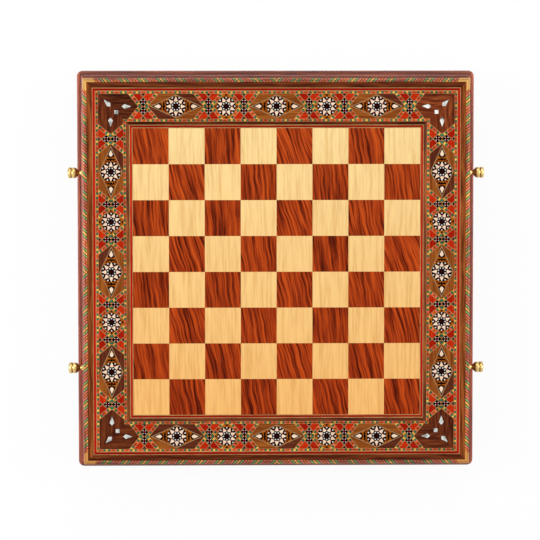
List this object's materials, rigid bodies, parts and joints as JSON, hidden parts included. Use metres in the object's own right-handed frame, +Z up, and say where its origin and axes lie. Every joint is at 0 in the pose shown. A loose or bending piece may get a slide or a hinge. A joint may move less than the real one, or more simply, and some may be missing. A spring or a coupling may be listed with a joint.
{
  "type": "chess board with storage",
  "caption": "Square inlaid chess board with mosaic borders on a shallow wooden case, with a divided, felt-lined drawer on each side pulled by turned brass knobs.",
  "frame": {"origin": "under the middle of the board, on the surface the plinth stands on", "axes": "+Z up; +X towards the right-hand drawer's knobs; -Y is the front"},
  "size_m": [0.4226, 0.405, 0.06],
  "materials": {
    "walnut": "satin lacquer",
    "golden_walnut": "satin lacquer",
    "rosewood": "satin lacquer",
    "maple": "satin lacquer",
    "red_dyed_wood": "satin lacquer",
    "tan_stringing": "satin lacquer",
    "tessera_mix": "satin lacquer",
    "ebonised_wood": "satin lacquer",
    "mother_of_pearl": "polished shell",
    "plywood": "sanded",
    "drawer_beech": "sanded",
    "green_felt": "pressed felt",
    "brass": "polished",
    "screw_steel": "zinc plated"
  },
  "bodies": {
    "case": {"base_panel": "plywood", "base_screws": "screw_steel", "border_red_stringing": "red_dyed_wood", "border_tan_stringing": "tan_stringing", "centre_partition": "drawer_beech", "corner_panels": "walnut", "cross_chevrons": "tessera_mix", "cross_diamonds": "ebonised_wood", "dark_grounds": "walnut", "dark_squares": "rosewood", "edge_corner_tips": "maple", "edge_triangles": "ebonised_wood", "field_panel": "plywood", "field_red_stringing": "red_dyed_wood", "field_tan_stringing": "tan_stringing", "frame_rail_back": "walnut", "frame_rail_front": "walnut", "frame_rail_left": "walnut", "frame_rail_right": "walnut", "golden_grounds": "golden_walnut", "inner_tessera_band": "tessera_mix", "light_squares": "maple", "lozenges": "golden_walnut", "mitre_splines": "plywood", "outer_tessera_band": "tessera_mix", "pearl_drops": "mother_of_pearl", "pearl_squares": "mother_of_pearl", "plinth_back": "walnut", "plinth_front": "walnut", "plinth_left": "walnut", "plinth_right": "walnut", "red_kites": "red_dyed_wood", "rope_edging": "tessera_mix", "star_cell_corners": "golden_walnut", "star_medallions": "ebonised_wood", "wall_back": "walnut", "wall_dowels": "drawer_beech", "wall_front": "walnut"},
    "drawer_left": {"drawer_left_back": "drawer_beech", "drawer_left_bottom": "plywood", "drawer_left_cross_dividers": "drawer_beech", "drawer_left_felt_lining": "green_felt", "drawer_left_front": "walnut", "drawer_left_knob_nuts": "brass", "drawer_left_knobs": "brass", "drawer_left_long_divider": "drawer_beech", "drawer_left_side_back": "drawer_beech", "drawer_left_side_front": "drawer_beech"},
    "drawer_right": {"drawer_right_back": "drawer_beech", "drawer_right_bottom": "plywood", "drawer_right_cross_dividers": "drawer_beech", "drawer_right_felt_lining": "green_felt", "drawer_right_front": "walnut", "drawer_right_knob_nuts": "brass", "drawer_right_knobs": "brass", "drawer_right_long_divider": "drawer_beech", "drawer_right_side_back": "drawer_beech", "drawer_right_side_front": "drawer_beech"}
  },
  "joints": [
    {"name": "drawer_left_slide", "type": "slide", "parent": "case", "child": "drawer_left", "axis": [-1, 0, 0], "range_m": [0, 0.16]},
    {"name": "drawer_right_slide", "type": "slide", "parent": "case", "child": "drawer_right", "axis": [1, 0, 0], "range_m": [0, 0.16]}
  ]
}
